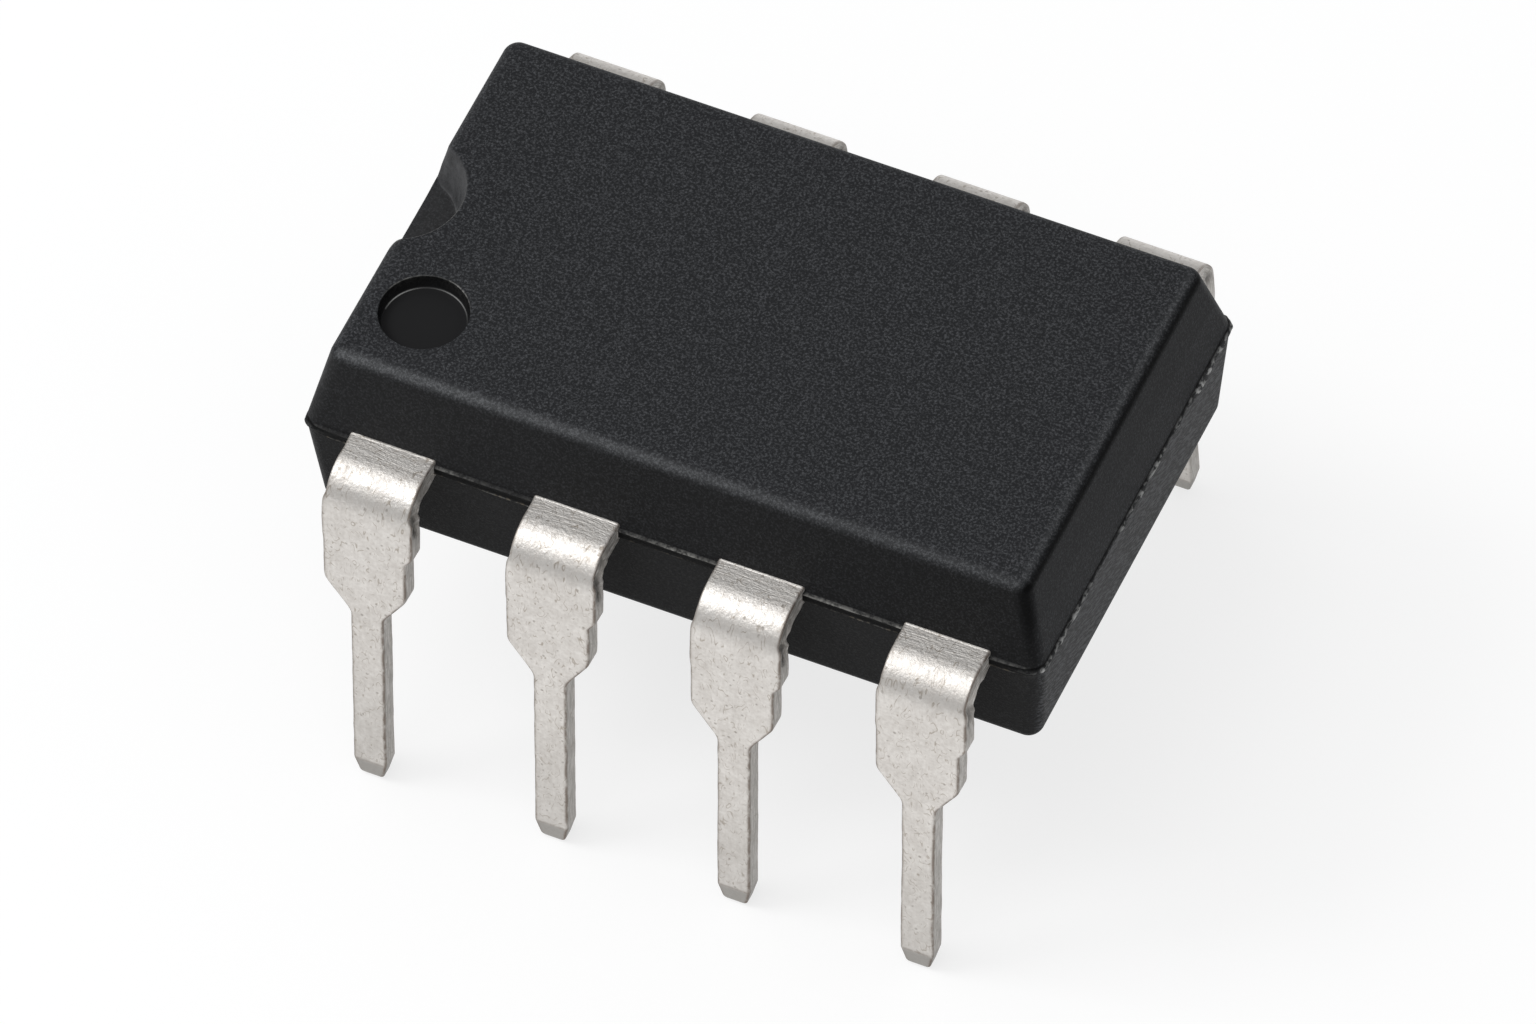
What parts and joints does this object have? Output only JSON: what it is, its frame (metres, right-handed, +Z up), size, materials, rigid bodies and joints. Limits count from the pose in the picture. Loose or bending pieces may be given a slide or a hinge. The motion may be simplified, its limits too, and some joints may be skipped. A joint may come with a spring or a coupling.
{
  "type": "dip integrated circuit chip",
  "caption": "Dual in-line chip: black moulded block with a notched end and a pin 1 dimple, carried on two rows of bent tin-plated leads.",
  "frame": {"origin": "middle of the chip, on the plane of the lead tips", "axes": "+X along the body from the notched end to the other end, +Y from the row of pins 1 to 4 to the row of pins 5 to 8, +Z up through the top face"},
  "size_m": [0.0102, 0.0084, 0.0067],
  "materials": {
    "compound": "black epoxy moulding compound with a fine eroded grain",
    "tin_plate": "matte tin plate, with bare sheared edges",
    "lead_frame": "bare copper alloy strip",
    "adhesive": "silver-filled adhesive, cured",
    "silicon": "polished silicon",
    "gold_wire": "drawn gold wire"
  },
  "bodies": {
    "root": {"body": "compound", "lead_1": "tin_plate", "lead_2": "tin_plate", "lead_3": "tin_plate", "lead_4": "tin_plate", "lead_5": "tin_plate", "lead_6": "tin_plate", "lead_7": "tin_plate", "lead_8": "tin_plate", "die_pad": "lead_frame", "die_attach": "adhesive", "die": "silicon", "bond_wire_1": "gold_wire", "bond_wire_2": "gold_wire", "bond_wire_3": "gold_wire", "bond_wire_4": "gold_wire", "bond_wire_5": "gold_wire", "bond_wire_6": "gold_wire", "bond_wire_7": "gold_wire", "bond_wire_8": "gold_wire"}
  },
  "joints": []
}
